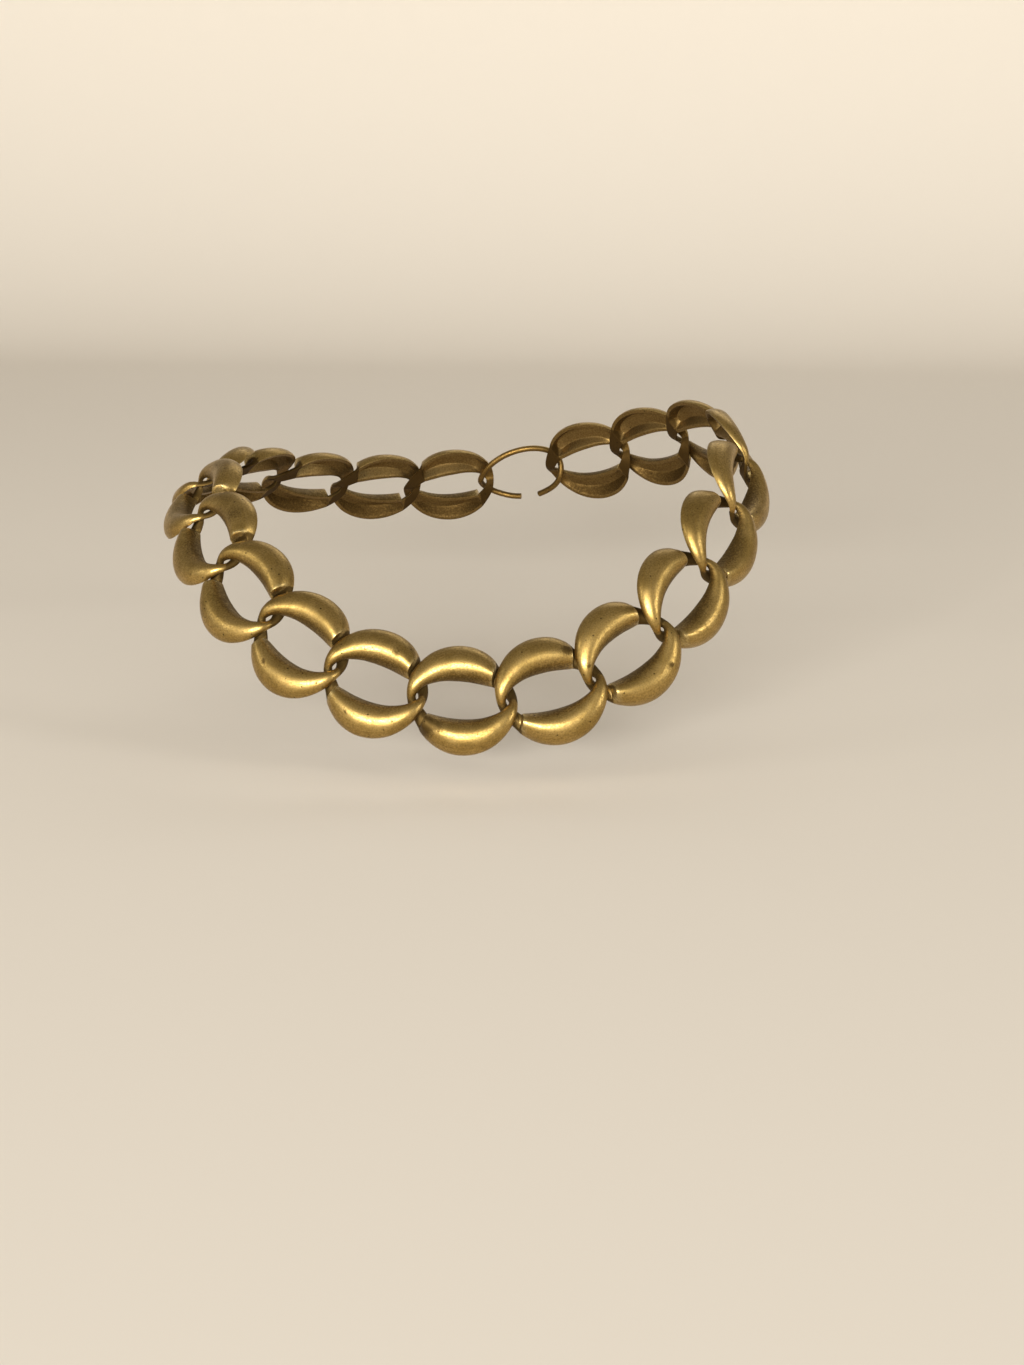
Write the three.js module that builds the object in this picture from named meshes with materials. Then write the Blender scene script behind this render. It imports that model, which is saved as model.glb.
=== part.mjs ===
// Collar choker necklace: a chain of puffed curb links with hollow backs, closed behind the neck
// by one plain wire hook. Millimetres, +Z up, the wearer's front faces -Y and the origin is the
// centre of the neck hollow. Run it under Node with the npm package three.
import * as THREE from 'three';
import { mergeVertices } from 'three/addons/utils/BufferGeometryUtils.js';

// ---- The worn loop: its centre line, by the angle round the neck (0 at the front)
const PLACES = 21;            // equal steps round the loop: 20 links and the hook
const HALF_WIDTH = 71.5;      // sideways reach of the loop
const HALF_DEPTH = 57.2;      // front-to-back reach
const NAPE_DEPTH = 10;        // the back reaches this much further
const FRONT_NARROWING = 4.9;  // draws the front quarters in and lets the back ones out
const SIDE_FLATTENING = 5.2;  // squares the sides against the neck
const FORWARD_TILT = 14.6;    // the front hangs low and the nape sits high
const SADDLE = 13;            // front and back dip between the shoulders
const SIDE_RISE = 2.1;        // one side rides a little higher
const SLUMP = 4.8;            // and the chain has settled slightly askew
const FIRST_LINK_SHIFT = 4.5; // the front link sits this far along from the middle
const HOOK_PLACE = 10;        // the hook's step round the loop, at the nape

// ---- Lean of the band from upright, in degrees: it lies on the slope of the neck's foot
const LEAN = 34;
const LEAN_BACK = 4;          // more at the nape than at the front
const LEAN_SIDES = 5;         // more at the shoulders than at the front and nape
const LEAN_CORNERS = 2.5;     // less where the band turns from the front on to a shoulder
const LEAN_LEFT = 10.9;       // more on the side towards -X

// ---- One link, in its own frame: x along the chain, y towards the neck, z out of its face
const LINK_CANT = -6;         // degrees that a link stands turned in the chain
const RIM = 0.9;              // upright edge under the dome
const RIM_SHARE = 0.3;        // but never more than this share of the link's thickness
const WALL = 1.0;             // thickness of the pressed shell at its edges
const CROWN_WALL = 1.3;       // and under its crown
const LIP_SHARE = 0.2;        // the edge takes at most this share of a narrow strand
const CROWN = 2.6;            // highest point of the dome
const HOLLOW_LIMIT = 4.2;     // strands narrower than this are solid
const HOLLOW_ONSET = 2;       // the hollow reaches its full depth this much wider
// Cuts across the ring: from the middle of one strand, over a crescent to its blunt end, and down
// the neck that passes behind the next link. The lower crescent is the upper one turned by 180
// degrees, with its blunt end drawn further out, because the outer edge of the collar is longer.
// Each row: outer x, outer y, inner x, inner y, underside z, top z.
const CRESCENT = [
  [-12.8, -1.0, -10.85, -0.8, -0.75, 0.75],
  [-12.95, 0.7, -10.0, 0.6, 0.1, 1.7],
  [-12.8, 3.2, -8.9, 1.8, 0.1, 2.15],
  [-11.7, 6.0, -7.3, 2.7, -0.3, 2.4],
  [-9.4, 9.4, -5.3, 3.6, -0.8, 2.6],
  [-6.0, 11.7, -2.9, 4.1, -1.4, CROWN],
  [-2.2, 12.8, -0.4, 4.4, -1.8, CROWN],
  [1.4, 12.7, 1.9, 4.5, -2.1, 2.5],
];
const UPPER_END = [
  [4.3, 11.7, 4.0, 4.4, -2.4, 2.25],
  [6.4, 10.1, 5.9, 4.3, -2.6, 1.85],
  [6.8, 9.3, 6.35, 4.45, -2.8, -1.2],
];
const LOWER_END = [
  [5.2, 11.4, 4.6, 4.4, -2.4, 2.25],
  [8.4, 8.8, 7.2, 4.05, -2.65, 1.7],
  [8.7, 8.1, 7.5, 4.2, -2.8, -1.2],
];
const NECK = [
  [10.1, 6.3, 8.3, 3.4, -2.8, -1.2],
  [12.1, 3.4, 10.25, 1.85, -2.45, -0.9],
];
// The section of the dome, and of the hollow under it, each by its place between the outer edge
// (0) and the inner edge (1) and its share of the height
const DOME = [[0, 0], [0.1, 0.48], [0.3, 0.86], [0.55, 1], [0.78, 0.84], [0.93, 0.46], [1, 0]];
const HOLLOW = [[0.74, 0.85], [0.32, 0.9]];

// ---- The hook: one bent wire that follows the links' own ring and twist, open at its lower side
const WIRE = 1.8;             // wire thickness
const WIRE_SIDES = 8;
const WIRE_STEPS = 30;
const HOOK_PATH = [
  [-2.5, -8.0, -0.9], [-5.2, -7.2, -1.4], [-8.8, -5.3, -2.0], [-11.2, -2.7, -1.75],
  [-11.9, -0.8, -0.15], [-11.9, 1.1, 0.75], [-11.1, 3.0, 1.1], [-9.1, 5.1, 1.0],
  [-5.5, 7.2, 0.4], [0, 8.1, -0.5], [5.2, 7.2, -1.4], [8.8, 5.3, -1.95], [11.1, 2.6, -1.5],
  [11.85, 0.75, 0], [11.9, -1.1, 0.75], [11.1, -3.0, 1.1], [9.1, -5.1, 1.0], [5.5, -7.2, 0.4],
  [3.0, -7.9, 0.1],
];

const deg = THREE.MathUtils.degToRad;

function loopPoint(t) {
  const ahead = (1 + Math.cos(t)) / 2; // 1 at the front, 0 at the nape
  return new THREE.Vector3(
    HALF_WIDTH * Math.sin(t)
      + ahead * (SIDE_FLATTENING * Math.sin(3 * t) - FRONT_NARROWING * Math.sin(2 * t)),
    -HALF_DEPTH * Math.cos(t) + NAPE_DEPTH * (1 - ahead) ** 2,
    -FORWARD_TILT * Math.cos(t) - SADDLE * Math.cos(2 * t)
      + SIDE_RISE * Math.sin(t) - SLUMP * Math.sin(2 * t),
  );
}

class Loop extends THREE.Curve {
  getPoint(u, target = new THREE.Vector3()) {
    return target.copy(loopPoint((u - 0.5) * 2 * Math.PI));
  }
}

const loop = new Loop();
loop.arcLengthDivisions = 2000;
const loopLength = loop.getLength();

// Angle round the neck at a distance along the chain from the middle of the front
function angleAt(distance) {
  const frontShare = loop.getLengths()[loop.arcLengthDivisions / 2] / loopLength;
  const share = frontShare + distance / loopLength;
  return (loop.getUtoTmapping(share - Math.floor(share)) - 0.5) * 2 * Math.PI;
}

// A place in the chain: its frame stands midway between its two joints, its x along the chain
// and its y leaning in towards the neck
function placeMatrix(index) {
  const pitch = loopLength / PLACES;
  const middle = index * pitch + FIRST_LINK_SHIFT;
  const start = loopPoint(angleAt(middle - pitch / 2));
  const end = loopPoint(angleAt(middle + pitch / 2));
  const t = angleAt(middle);
  const lean = deg(LEAN - LEAN_BACK * Math.cos(t) - LEAN_SIDES * Math.cos(2 * t)
    + LEAN_CORNERS * Math.cos(3 * t) - LEAN_LEFT * Math.sin(t));
  const along = end.clone().sub(start).normalize();
  const inward = new THREE.Vector3(-along.y, along.x, 0).normalize();
  const up = inward.multiplyScalar(Math.sin(lean)).add(new THREE.Vector3(0, 0, Math.cos(lean)));
  up.addScaledVector(along, -up.dot(along)).normalize();
  const out = along.clone().cross(up);
  return new THREE.Matrix4().makeBasis(along, up, out)
    .setPosition(start.add(end).multiplyScalar(0.5));
}

// One cut through the link: over the dome from its outer edge, then back along the hollow side
function linkSection([ox, oy, ix, iy, under, top]) {
  const outer = new THREE.Vector2(ox, oy);
  const inner = new THREE.Vector2(ix, iy);
  const width = outer.distanceTo(inner);
  const rim = Math.min(RIM, RIM_SHARE * (top - under));
  const lip = Math.min(WALL / width, LIP_SHARE);
  const room = THREE.MathUtils.clamp((width - HOLLOW_LIMIT) / HOLLOW_ONSET, 0, 1);
  const depth = room * Math.max(top - under - CROWN_WALL, 0);
  const at = (share, z) => {
    const p = outer.clone().lerp(inner, share);
    return new THREE.Vector3(p.x, p.y, z);
  };
  return [
    at(0, under),
    ...DOME.map(([share, height]) => at(share, under + rim + height * (top - under - rim))),
    at(1, under),
    at(1 - lip, under),
    ...HOLLOW.map(([share, height]) => at(share, under + height * depth)),
    at(lip, under),
  ];
}

// Skin a closed ring of sections, each a list of as many points
function ringGeometry(sections, closed) {
  const sides = sections[0].length;
  const positions = sections.flat().flatMap((p) => [p.x, p.y, p.z]);
  const index = [];
  const last = closed ? sections.length : sections.length - 1;
  for (let i = 0; i < last; i += 1) {
    const a = i * sides;
    const b = ((i + 1) % sections.length) * sides;
    for (let j = 0; j < sides; j += 1) {
      const k = (j + 1) % sides;
      index.push(a + j, b + k, b + j, a + j, a + k, b + k);
    }
  }
  if (!closed) {
    const end = (sections.length - 1) * sides;
    for (let j = 1; j < sides - 1; j += 1) {
      index.push(0, j + 1, j, end, end + j, end + j + 1);
    }
  }
  const geometry = new THREE.BufferGeometry();
  geometry.setAttribute('position', new THREE.Float32BufferAttribute(positions, 3));
  geometry.setIndex(index);
  return mergeVertices(geometry, 1e-4);
}

function linkGeometry() {
  const upper = [...CRESCENT, ...UPPER_END, ...NECK].map(linkSection);
  const lower = [...CRESCENT, ...LOWER_END, ...NECK].map(linkSection)
    .map((section) => section.map((p) => new THREE.Vector3(-p.x, -p.y, p.z)));
  return ringGeometry([...upper, ...lower], true).rotateZ(deg(LINK_CANT));
}

function hookGeometry() {
  const path = new THREE.CatmullRomCurve3(HOOK_PATH.map((p) => new THREE.Vector3(...p)));
  const sections = [];
  for (let i = 0; i <= WIRE_STEPS; i += 1) {
    const centre = path.getPointAt(i / WIRE_STEPS);
    const along = path.getTangentAt(i / WIRE_STEPS);
    const side = new THREE.Vector3(0, 0, 1).cross(along).normalize();
    const face = along.clone().cross(side);
    sections.push(Array.from({ length: WIRE_SIDES }, (_, j) => {
      const a = ((j + 0.5) * 2 * Math.PI) / WIRE_SIDES;
      return centre.clone().addScaledVector(side, (WIRE / 2) * Math.cos(a))
        .addScaledVector(face, (WIRE / 2) * Math.sin(a));
    }));
  }
  return ringGeometry(sections, false).rotateZ(deg(LINK_CANT));
}

function satinGold() {
  return new THREE.MeshStandardMaterial({ color: 0xb48a45, roughness: 0.42, metalness: 1 });
}

function pieceAt(index, name, geometry) {
  const mesh = new THREE.Mesh(geometry, satinGold());
  mesh.name = name;
  placeMatrix(index).decompose(mesh.position, mesh.quaternion, mesh.scale);
  return mesh;
}

const necklace = new THREE.Group();
for (let place = 0; place < PLACES; place += 1) {
  if (place === HOOK_PLACE) {
    necklace.add(pieceAt(place, 'hook_clasp', hookGeometry()));
  } else {
    const number = String(place < HOOK_PLACE ? place + 1 : place).padStart(2, '0');
    necklace.add(pieceAt(place, `link_${number}`, linkGeometry()));
  }
}

export default necklace;
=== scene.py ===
"""Collar choker necklace: puffed curb links in satin antique gold, worn in a ring and closed by a
wire hook at the nape."""
import math

import bmesh
import bpy
import numpy as np
from mathutils import Matrix, Vector


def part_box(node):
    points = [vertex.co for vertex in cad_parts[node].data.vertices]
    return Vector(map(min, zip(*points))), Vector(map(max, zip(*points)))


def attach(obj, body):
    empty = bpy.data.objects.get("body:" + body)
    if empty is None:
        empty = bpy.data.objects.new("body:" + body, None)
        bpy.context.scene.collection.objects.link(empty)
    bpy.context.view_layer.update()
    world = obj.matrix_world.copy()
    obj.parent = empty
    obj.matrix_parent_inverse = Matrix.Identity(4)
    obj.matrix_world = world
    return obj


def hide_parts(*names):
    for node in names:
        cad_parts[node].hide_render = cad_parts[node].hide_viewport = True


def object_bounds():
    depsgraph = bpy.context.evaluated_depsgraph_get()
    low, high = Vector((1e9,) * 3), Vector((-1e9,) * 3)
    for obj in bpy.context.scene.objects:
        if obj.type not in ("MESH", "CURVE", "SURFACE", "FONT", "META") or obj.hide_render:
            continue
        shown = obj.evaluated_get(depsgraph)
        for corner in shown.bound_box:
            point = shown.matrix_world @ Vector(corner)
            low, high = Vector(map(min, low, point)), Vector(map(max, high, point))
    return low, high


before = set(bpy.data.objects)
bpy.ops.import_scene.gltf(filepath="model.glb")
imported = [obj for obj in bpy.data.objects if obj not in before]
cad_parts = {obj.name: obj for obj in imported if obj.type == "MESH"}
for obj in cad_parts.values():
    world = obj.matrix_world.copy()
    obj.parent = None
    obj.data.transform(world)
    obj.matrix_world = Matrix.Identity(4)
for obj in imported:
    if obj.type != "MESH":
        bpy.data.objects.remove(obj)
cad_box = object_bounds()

MM = 0.001

# ---- The chain's pieces in their order round the neck: the hook closes it after half of the links
LINKS = [f"link_{number:02d}" for number in range(1, 21)]
HOOK = "hook_clasp"
CHAIN = [*LINKS[:10], HOOK, *LINKS[10:]]

# ---- Finishing of the pressed shells, in millimetres and degrees
WELD = 0.001
PAIR_BEND = 90               # triangles that meet at less than this may pair into one face
PAIR_SKEW = 180              # and however far from a square that face is
GRID_PULL = 5                # as long as the pairs run on in rows
PRESSED_EDGE = 50            # faces that meet at more than this keep a crisp edge
EDGE_RADIUS = 0.11
EDGE_STEPS = 2
SMOOTHING = 2                # subdivision levels
# A link stands turned in the chain by this much. Its two necks, which pass behind its neighbours,
# start this far along from its middle: the upper one towards its end, the lower one towards its
# start
LINK_CANT = -6
UPPER_NECK, LOWER_NECK = 6.6, 8.3
NECK_FADE = 0.3
# darkening along the inner edges: partly tarnish, partly painted shade
INNER_EDGE_TARNISH_AND_SHADE = 0.3
BRUSHING_STEP = 7.0          # each piece takes its brushing from its own place in the pattern

# ---- Stains on the faces: link, angle round the link, distance from its middle and size in mm,
# and strength
STAINS = [
    ("link_01", -140, 10.3, 3.6, 0.8),
    ("link_01", -126, 8.6, 2.2, 0.5),
    ("link_02", 52, 9.6, 1.8, 0.7),
    ("link_20", -108, 9.6, 0.6, 1),
    ("link_20", 70, 8.4, 1.8, 0.4),
    ("link_03", -52, 10.3, 0.9, 0.9),
    ("link_03", 165, 10.8, 0.7, 0.8),
    ("link_19", -112, 8.9, 0.8, 0.9),
    ("link_17", 78, 8.6, 3.4, 0.25),
]

# ---- Sizes of the plate's texture in millimetres. Its grain is really finer than 0.05 mm and the
# strokes than 0.1 mm: both are drawn as coarse as they need to show.
PATINA_CLOUD = 6.2
GRAIN = 0.45
PIT_SPACING = 1.8
RELIEF = 0.02
LINK_STROKE = (4.5, 0.38)    # length and width of the hand's strokes round a link
WIRE_STROKE = (9, 0.3)       # and of the drawing marks along the wire
SATIN, DRAWN = 0.22, 0.19    # roughness of their clean metal

# ---- Its colours, from the clean plate to the dirt in its pits, with painted highlight and painted shade among them
BRIGHT_GOLD = "#C4A462"
PATINA = "#A4874A"
STROKE_GOLD = "#AF8F4E"
# pale edges: wear and a painted highlight
WORN_AND_HIGHLIT_GOLD = "#D8C084"
# painted shade for the hollow backs that face the wearer
HOLLOW_SHADE_BROWN = "#6B4E24"
# tarnish and stains, and painted shade on the necks and along the inner edges
TARNISH_AND_SHADE_BROWN = "#3B2A13"
PIT_BROWN = "#2B1E0E"

# ---- The studio
FLOOR_DROP = 7               # millimetres from the collar's lowest point down to the floor
FLOOR_PAPER = "#E3D9C9"
ROOM_LIGHT = [(0.15, "#ACA69C"), (0.6, "#99938A")]  # by the height of the direction looked in
# Softboxes: name, turn round from straight in front and rise in degrees, distance, width and
# height in metres, and power in watts
SOFTBOXES = [
    ("key", -7, 13, 2.2, 1.5, 0.46, 72),
    ("left_window", -62, 22, 1.5, 0.5, 0.6, 2.8),
    ("right_window", 66, 16, 1.6, 0.35, 0.5, 6),
    ("behind", 168, 40, 1.6, 1.1, 0.6, 2.5),
]

# ---- The camera: at arm's length, a little above the collar and round to the wearer's left, in
# millimetres and degrees, with its focal length as a multiple of the sensor's width
CAMERA_TURN = 4.8
CAMERA_RISE = 15.8
CAMERA_DISTANCE = 516
CAMERA_SIDESTEP = 11.15
CAMERA_DROP = -37.88
FOCAL_WIDTHS = 2.002
SENSOR = 36


def linear(hex_colour):
    """An sRGB hex colour as the linear RGBA that shaders work in."""
    channels = [int(hex_colour[i:i + 2], 16) / 255 for i in (1, 3, 5)]
    return (*[c / 12.92 if c <= 0.04045 else ((c + 0.055) / 1.055) ** 2.4 for c in channels], 1)


def add(tree, kind, links=None, values=None, **settings):
    """Add a node with its properties, its inputs' values and the sockets that feed its inputs."""
    node = tree.nodes.new(kind)
    for name, setting in settings.items():
        setattr(node, name, setting)
    for name, value in (values or {}).items():
        node.inputs[name].default_value = value
    for name, socket in (links or {}).items():
        tree.links.new(socket, node.inputs[name])
    return node


def ramp(low, high, value):
    """A soft step from 0 at low to 1 at high."""
    share = np.clip((value - low) / (high - low), 0, 1)
    return share * share * (3 - 2 * share)


# ---- Shapes

def pressed_cage(node):
    """A workable copy of a CAD node: its loose triangles welded and paired into a regular grid,
    with the edges that the press leaves crisp creased and marked as the places that wear and take a
    painted highlight."""
    bm = bmesh.new()
    bm.from_mesh(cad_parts[node].data)
    bmesh.ops.remove_doubles(bm, verts=bm.verts, dist=WELD * MM)
    bmesh.ops.join_triangles(
        bm, faces=bm.faces, angle_face_threshold=math.radians(PAIR_BEND),
        angle_shape_threshold=math.radians(PAIR_SKEW), topology_influence=GRID_PULL)
    crease = bm.edges.layers.float.new("crease_edge")
    worn_and_highlit = bm.verts.layers.float.new("worn_and_highlit_edge")
    for edge in bm.edges:
        if edge.calc_face_angle(0) > math.radians(PRESSED_EDGE):
            edge[crease] = 1
            for vertex in edge.verts:
                vertex[worn_and_highlit] = 1
    return bm


def smoothed(name, bm):
    """The finished mesh of a cage, subdivided and with its crisp edges just broken."""
    mesh = bpy.data.meshes.new(name)
    bm.to_mesh(mesh)
    bm.free()
    piece = bpy.data.objects.new(name, mesh)
    bpy.context.scene.collection.objects.link(piece)
    smoother = piece.modifiers.new("smooth", "SUBSURF")
    smoother.levels = smoother.render_levels = SMOOTHING
    breaker = piece.modifiers.new("break_edges", "BEVEL")
    breaker.width = EDGE_RADIUS * MM
    breaker.segments = EDGE_STEPS
    breaker.limit_method = "ANGLE"
    breaker.angle_limit = math.radians(PRESSED_EDGE)
    bpy.context.view_layer.update()
    finished = bpy.data.meshes.new_from_object(
        piece.evaluated_get(bpy.context.evaluated_depsgraph_get()))
    piece.modifiers.clear()
    piece.data = finished
    finished.shade_smooth()
    return piece


def middle(node):
    """The middle of a CAD node's box."""
    low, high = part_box(node)
    return np.array((low + high) / 2)


def own_axes(points, before, after):
    """A piece's middle and its own axes as rows: along the chain, towards the neck and out of its
    face. before and after are the middles of its two neighbours."""
    centre = points.mean(axis=0)
    out = np.linalg.svd(points - centre, full_matrices=False)[2][2]
    out *= np.sign(out[:2] @ centre[:2])
    along = (after - before) - out * ((after - before) @ out)
    along /= np.linalg.norm(along)
    return centre, np.array([along, np.cross(out, along), out])


def neck(x, y, z, start):
    """1 on the neck that lies low beyond a link's blunt end, fading to 0 round it; it marks where
    painted shade goes. All in mm.
    """
    cant = math.radians(LINK_CANT)
    along = x * math.cos(cant) + y * math.sin(cant)
    inward = y * math.cos(cant) - x * math.sin(cant)
    beyond_end = ramp(start - NECK_FADE, start + NECK_FADE, along)
    return beyond_end * ramp(0.2, 1.6, inward) * ramp(0.5, -0.5, z)


def paint_age_and_shade(piece, node):
    """Store where the piece is tarnished, where it is darkened with painted shade and where it is
    hollow, and a place round it for its brushing.
    """
    mesh = piece.data
    points, normals = np.empty(len(mesh.vertices) * 3), np.empty(len(mesh.vertices) * 3)
    mesh.vertices.foreach_get("co", points)
    mesh.vertex_normals.foreach_get("vector", normals)
    points, normals = points.reshape(-1, 3), normals.reshape(-1, 3)
    at = CHAIN.index(node)
    before, after = middle(CHAIN[at - 1]), middle(CHAIN[(at + 1) % len(CHAIN)])
    centre, axes = own_axes(points, before, after)
    x, y, z = ((points - centre) @ axes.T / MM).T
    facing = normals @ axes.T
    angle, reach = np.degrees(np.arctan2(y, x)), np.hypot(x, y)
    outward = (facing[:, 0] * x + facing[:, 1] * y) / np.maximum(reach, 1e-6)

    # What faces the wearer is hollow and gets painted shade, and what faces the link's own middle
    # is its inner edge, which gets tarnish and painted shade
    hollow = ramp(0.05, -0.45, facing[:, 2])
    tarnish_and_shade = INNER_EDGE_TARNISH_AND_SHADE * ramp(-0.35, -0.9, outward)
    if node != HOOK:
        # The necks, lying low behind the neighbours, are darkened as painted shade
        necks = np.maximum(neck(x, y, z, UPPER_NECK), neck(-x, -y, z, LOWER_NECK))
        tarnish_and_shade = np.maximum(tarnish_and_shade, necks)
    for link, turn, distance, size, strength in STAINS:
        if link == node:
            spot = distance * np.array([math.cos(math.radians(turn)), math.sin(math.radians(turn))])
            gap = np.hypot(x - spot[0], y - spot[1])
            tarnish_and_shade = np.maximum(tarnish_and_shade, strength * (1 - ramp(0, size, gap)))

    for name, values in (("hollow_back", hollow), ("tarnish_and_shade", tarnish_and_shade)):
        layer = mesh.attributes.new(name, "FLOAT", "POINT")
        layer.data.foreach_set("value", values.astype(np.float32))
    ring = np.column_stack([np.radians(angle) * reach.mean(), reach,
                            np.full(len(x), BRUSHING_STEP * at)])
    layer = mesh.attributes.new("round_link", "FLOAT_VECTOR", "POINT")
    layer.data.foreach_set("vector", ring.astype(np.float32).ravel())


# ---- Metals

def antique_gold(name, stroke_length, stroke_width, roughness):
    """Antique gold plate on brass, rubbed down to a satin. It gives broad, soft highlights with
    fine strokes in them, clouds of brown patina, dark pits, pale edges that are worn and carry a
    painted highlight, and painted shade in the hollows, on the necks and along the inner edges."""
    material = bpy.data.materials.new(name)
    material.use_nodes = True
    tree = material.node_tree
    shader = tree.nodes["Principled BSDF"]
    shader.inputs["Metallic"].default_value = 1

    place = add(tree, "ShaderNodeTexCoord")
    in_mm = add(tree, "ShaderNodeMapping", {"Vector": place.outputs["Object"]},
                {"Scale": (1 / MM, 1 / MM, 1 / MM)})
    around = add(tree, "ShaderNodeAttribute", attribute_name="round_link")
    brushed = add(tree, "ShaderNodeMapping", {"Vector": around.outputs["Vector"]},
                  {"Scale": (1 / stroke_length, 1 / stroke_width, 1)})
    clouds = add(tree, "ShaderNodeTexNoise", {"Vector": in_mm.outputs["Vector"]},
                 {"Scale": 1 / PATINA_CLOUD, "Detail": 4, "Roughness": 0.62})
    grain = add(tree, "ShaderNodeTexNoise", {"Vector": in_mm.outputs["Vector"]},
                {"Scale": 1 / GRAIN, "Detail": 3, "Roughness": 0.7})
    strokes = add(tree, "ShaderNodeTexNoise", {"Vector": brushed.outputs["Vector"]},
                  {"Scale": 1, "Detail": 3, "Roughness": 0.6})
    pits = add(tree, "ShaderNodeTexVoronoi", {"Vector": in_mm.outputs["Vector"]},
               {"Scale": 1 / PIT_SPACING, "Randomness": 1})
    tarnish_and_shade = add(tree, "ShaderNodeAttribute", attribute_name="tarnish_and_shade")
    hollow = add(tree, "ShaderNodeAttribute", attribute_name="hollow_back")
    worn_and_highlit = add(tree, "ShaderNodeAttribute", attribute_name="worn_and_highlit_edge")

    # Tarnish and painted shade with a ragged edge, and a breath of it all over
    ragged = add(tree, "ShaderNodeMath", {0: grain.outputs["Fac"], 2: tarnish_and_shade.outputs["Fac"]},
                 {1: 0.9}, operation="MULTIPLY_ADD")
    aged_and_shaded = add(tree, "ShaderNodeMapRange", {"Value": ragged.outputs[0]},
               {"From Min": 0.2, "From Max": 0.9}, interpolation_type="SMOOTHSTEP")
    patina = add(tree, "ShaderNodeMapRange", {"Value": clouds.outputs["Fac"]},
                 {"From Min": 0.42, "From Max": 0.68}, interpolation_type="SMOOTHSTEP")
    stroke = add(tree, "ShaderNodeMapRange", {"Value": strokes.outputs["Fac"]},
                 {"From Min": 0.35, "From Max": 0.75}, interpolation_type="SMOOTHSTEP")
    # A third of the cells hold a pit, each about a quarter of a cell across
    pit = add(tree, "ShaderNodeMapRange", {"Value": pits.outputs["Distance"]},
              {"From Min": 0.16, "From Max": 0.08}, interpolation_type="SMOOTHSTEP")
    lot = add(tree, "ShaderNodeSeparateColor", {"Color": pits.outputs["Color"]})
    chosen = add(tree, "ShaderNodeMapRange", {"Value": lot.outputs["Red"]},
                 {"From Min": 0.62, "From Max": 0.7}, interpolation_type="SMOOTHSTEP")
    specks = add(tree, "ShaderNodeMath", {0: pit.outputs["Result"], 1: chosen.outputs["Result"]},
                 operation="MULTIPLY")
    edge = add(tree, "ShaderNodeMapRange", {"Value": worn_and_highlit.outputs["Fac"]},
               {"From Min": 0.55, "From Max": 1, "To Max": 0.7}, interpolation_type="SMOOTHSTEP")
    clean = add(tree, "ShaderNodeMath", {1: aged_and_shaded.outputs["Result"]}, {0: 1}, operation="SUBTRACT")
    rubbed_and_highlit = add(tree, "ShaderNodeMath", {0: edge.outputs["Result"], 1: clean.outputs[0]},
                 operation="MULTIPLY")
    shaded = add(tree, "ShaderNodeMath", {0: hollow.outputs["Fac"]}, {1: 0.75},
                 operation="MULTIPLY")
    darkened = add(tree, "ShaderNodeMath", {0: aged_and_shaded.outputs["Result"]}, {1: 0.85},
                   operation="MULTIPLY")
    dotted = add(tree, "ShaderNodeMath", {0: specks.outputs[0]}, {1: 0.8}, operation="MULTIPLY")

    # Colours from the plate outwards: inputs 6 and 7 are the mixed colours, output 2 the result
    plate = add(tree, "ShaderNodeMix", {"Factor": patina.outputs["Result"]},
                {6: linear(BRIGHT_GOLD), 7: linear(PATINA)}, data_type="RGBA")
    plate = add(tree, "ShaderNodeMix", {"Factor": stroke.outputs["Result"], 6: plate.outputs[2]},
                {7: linear(STROKE_GOLD)}, data_type="RGBA")
    # Pale edges that are worn and also carry a painted highlight
    plate = add(tree, "ShaderNodeMix", {"Factor": rubbed_and_highlit.outputs[0], 6: plate.outputs[2]},
                {7: linear(WORN_AND_HIGHLIT_GOLD)}, data_type="RGBA")
    # Painted shade over the hollow backs that face the wearer
    plate = add(tree, "ShaderNodeMix", {"Factor": shaded.outputs[0], 6: plate.outputs[2]},
                {7: linear(HOLLOW_SHADE_BROWN)}, data_type="RGBA")
    # Tarnish and stains, with painted shade on the necks and along the inner edges
    plate = add(tree, "ShaderNodeMix", {"Factor": darkened.outputs[0], 6: plate.outputs[2]},
                {7: linear(TARNISH_AND_SHADE_BROWN)}, data_type="RGBA")
    plate = add(tree, "ShaderNodeMix", {"Factor": dotted.outputs[0], 6: plate.outputs[2]},
                {7: linear(PIT_BROWN)}, data_type="RGBA")
    tree.links.new(plate.outputs[2], shader.inputs["Base Color"])

    rough = add(tree, "ShaderNodeMath", {0: strokes.outputs["Fac"]}, {1: 0.18, 2: roughness},
                operation="MULTIPLY_ADD")
    rough = add(tree, "ShaderNodeMath", {0: aged_and_shaded.outputs["Result"], 2: rough.outputs[0]},
                {1: 0.26}, operation="MULTIPLY_ADD")
    rough = add(tree, "ShaderNodeMath", {0: hollow.outputs["Fac"], 2: rough.outputs[0]},
                {1: 0.12}, operation="MULTIPLY_ADD")
    tree.links.new(rough.outputs[0], shader.inputs["Roughness"])

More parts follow.
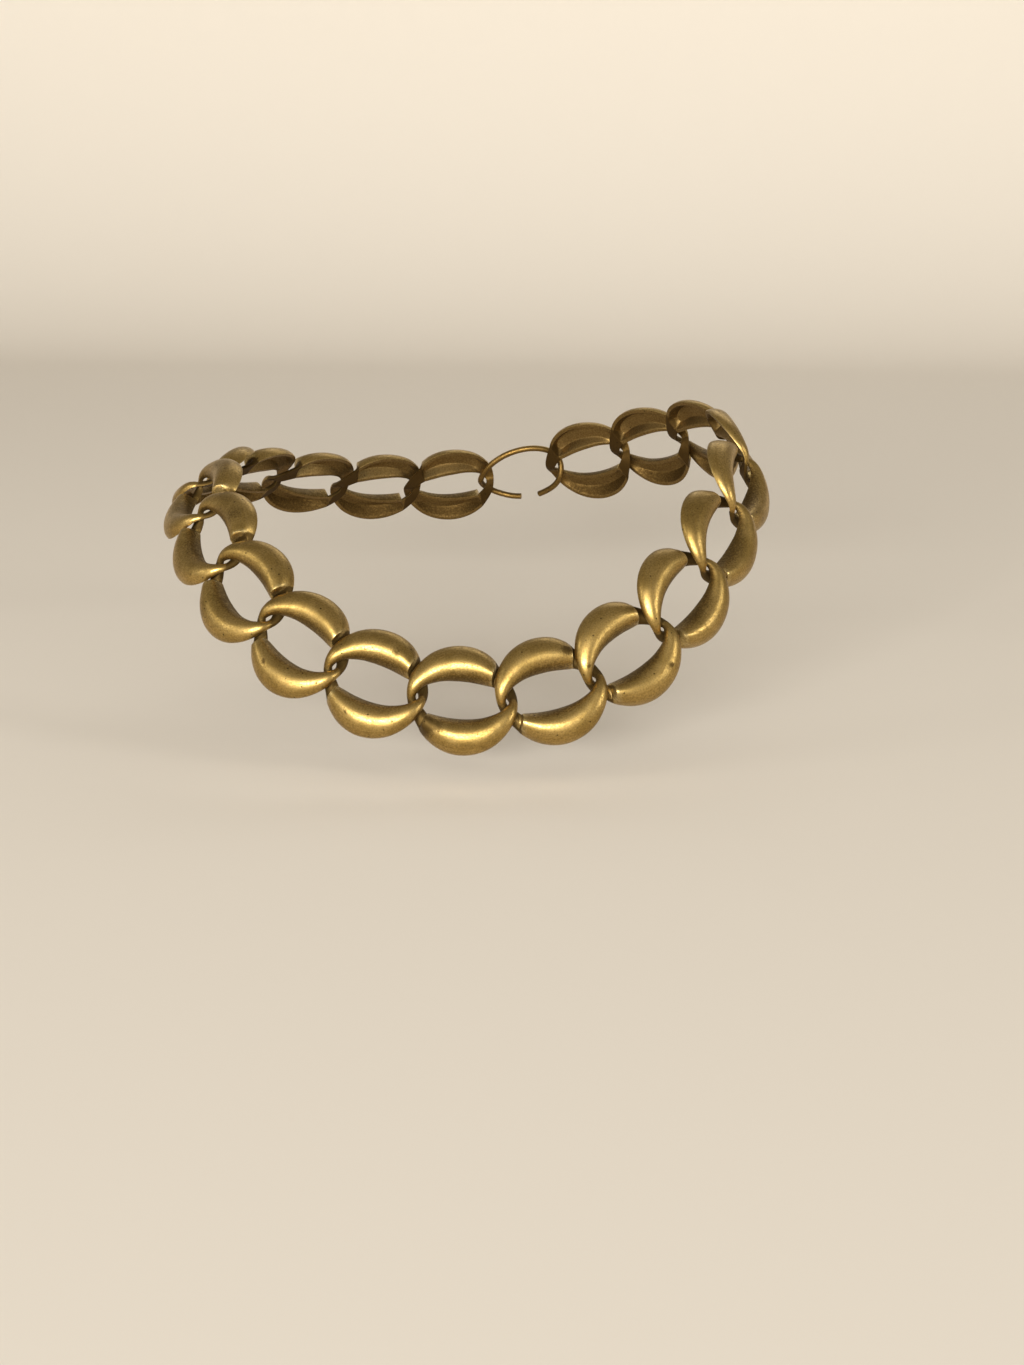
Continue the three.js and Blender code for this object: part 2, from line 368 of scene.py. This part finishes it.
    # Relief in units of RELIEF: the slow unevenness of pressed sheet, then strokes, grain and pits
    relief = add(tree, "ShaderNodeMath", {0: clouds.outputs["Fac"]}, {1: 4}, operation="MULTIPLY")
    relief = add(tree, "ShaderNodeMath", {0: strokes.outputs["Fac"], 2: relief.outputs[0]},
                 {1: 0.7}, operation="MULTIPLY_ADD")
    relief = add(tree, "ShaderNodeMath", {0: grain.outputs["Fac"], 2: relief.outputs[0]},
                 {1: 0.4}, operation="MULTIPLY_ADD")
    relief = add(tree, "ShaderNodeMath", {0: relief.outputs[0], 1: dotted.outputs[0]},
                 operation="SUBTRACT")
    bump = add(tree, "ShaderNodeBump", {"Height": relief.outputs[0]},
               {"Strength": 1, "Distance": RELIEF * MM})
    tree.links.new(bump.outputs["Normal"], shader.inputs["Normal"])
    return material


pressed_gold = antique_gold("pressed_satin_antique_gold", *LINK_STROKE, SATIN)
wire_gold = antique_gold("drawn_wire_antique_gold", *WIRE_STROKE, DRAWN)
for node in CHAIN:
    piece = smoothed(f"{node}_finished", pressed_cage(node))
    paint_age_and_shade(piece, node)
    piece.data.materials.clear()
    piece.data.materials.append(wire_gold if node == HOOK else pressed_gold)
    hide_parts(node)
    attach(piece, "root")


# ---- Studio

def backdrop():
    """A pale paper floor that sweeps up into a low wall behind."""
    floor_level = cad_box[0][2] - FLOOR_DROP * MM
    reach, back, bend, steps = 2.5, 0.7, 0.4, 16
    bm = bmesh.new()
    corner = bm.verts.new((-reach, -reach, floor_level))
    foot = bm.verts.new((-reach, back, floor_level))
    bm.edges.new((corner, foot))
    bmesh.ops.spin(bm, geom=[foot], cent=(-reach, back, floor_level + bend), axis=(1, 0, 0),
                   angle=math.radians(75), steps=steps, use_merge=False)
    swept = bmesh.ops.extrude_edge_only(bm, edges=list(bm.edges))["geom"]
    bmesh.ops.translate(bm, vec=(2 * reach, 0, 0),
                        verts=[part for part in swept if isinstance(part, bmesh.types.BMVert)])
    mesh = bpy.data.meshes.new("backdrop")
    bm.to_mesh(mesh)
    bm.free()
    mesh.shade_smooth()
    sweep = bpy.data.objects.new("backdrop", mesh)
    bpy.context.scene.collection.objects.link(sweep)
    paper = bpy.data.materials.new("backdrop_paper")
    paper.use_nodes = True
    shader = paper.node_tree.nodes["Principled BSDF"]
    shader.inputs["Base Color"].default_value = linear(FLOOR_PAPER)
    shader.inputs["Roughness"].default_value = 0.9
    mesh.materials.append(paper)


def direction(turn, rise):
    """The unit vector from the collar, turned round from straight in front, in degrees."""
    turn, rise = math.radians(turn), math.radians(rise)
    return Vector((math.sin(turn) * math.cos(rise), -math.cos(turn) * math.cos(rise),
                   math.sin(rise)))


def softbox(name, turn, rise, distance, width, height, power):
    """An area light that faces the collar."""
    towards = direction(turn, rise)
    light = bpy.data.lights.new(name, "AREA")
    light.shape = "RECTANGLE"
    light.size, light.size_y = width, height
    light.energy = power
    lamp = bpy.data.objects.new(name, light)
    bpy.context.scene.collection.objects.link(lamp)
    lamp.rotation_euler = towards.to_track_quat("Z", "Y").to_euler()
    lamp.location = towards * distance


def room():
    """The room's own even, dim light."""
    world = bpy.data.worlds.new("room")
    world.use_nodes = True
    tree = world.node_tree
    looked_in = add(tree, "ShaderNodeTexCoord")
    height = add(tree, "ShaderNodeSeparateXYZ", {"Vector": looked_in.outputs["Generated"]})
    shade = add(tree, "ShaderNodeValToRGB", {"Fac": height.outputs["Z"]})
    for stop, (position, colour) in zip(shade.color_ramp.elements, ROOM_LIGHT):
        stop.position, stop.color = position, linear(colour)
    tree.links.new(shade.outputs["Color"], tree.nodes["Background"].inputs["Color"])
    bpy.context.scene.world = world


def camera():
    """The camera, which looks along a line that passes a little beside and below the neck."""
    turn = math.radians(CAMERA_TURN)
    back = direction(CAMERA_TURN, CAMERA_RISE)
    right = Vector((math.cos(turn), math.sin(turn), 0))
    up = back.cross(right)
    lens = bpy.data.cameras.new("camera")
    lens.sensor_fit = "HORIZONTAL"
    lens.sensor_width = SENSOR
    lens.lens = SENSOR * FOCAL_WIDTHS
    lens.clip_start = 0.01
    stand = bpy.data.objects.new("camera", lens)
    bpy.context.scene.collection.objects.link(stand)
    place = (CAMERA_DISTANCE * back + CAMERA_SIDESTEP * right + CAMERA_DROP * up) * MM
    stand.matrix_world = Matrix.Translation(place) @ Matrix((right, up, back)).transposed().to_4x4()
    bpy.context.scene.camera = stand


backdrop()
for box in SOFTBOXES:
    softbox(*box)
room()
camera()
bpy.context.scene.view_settings.view_transform = "Standard"
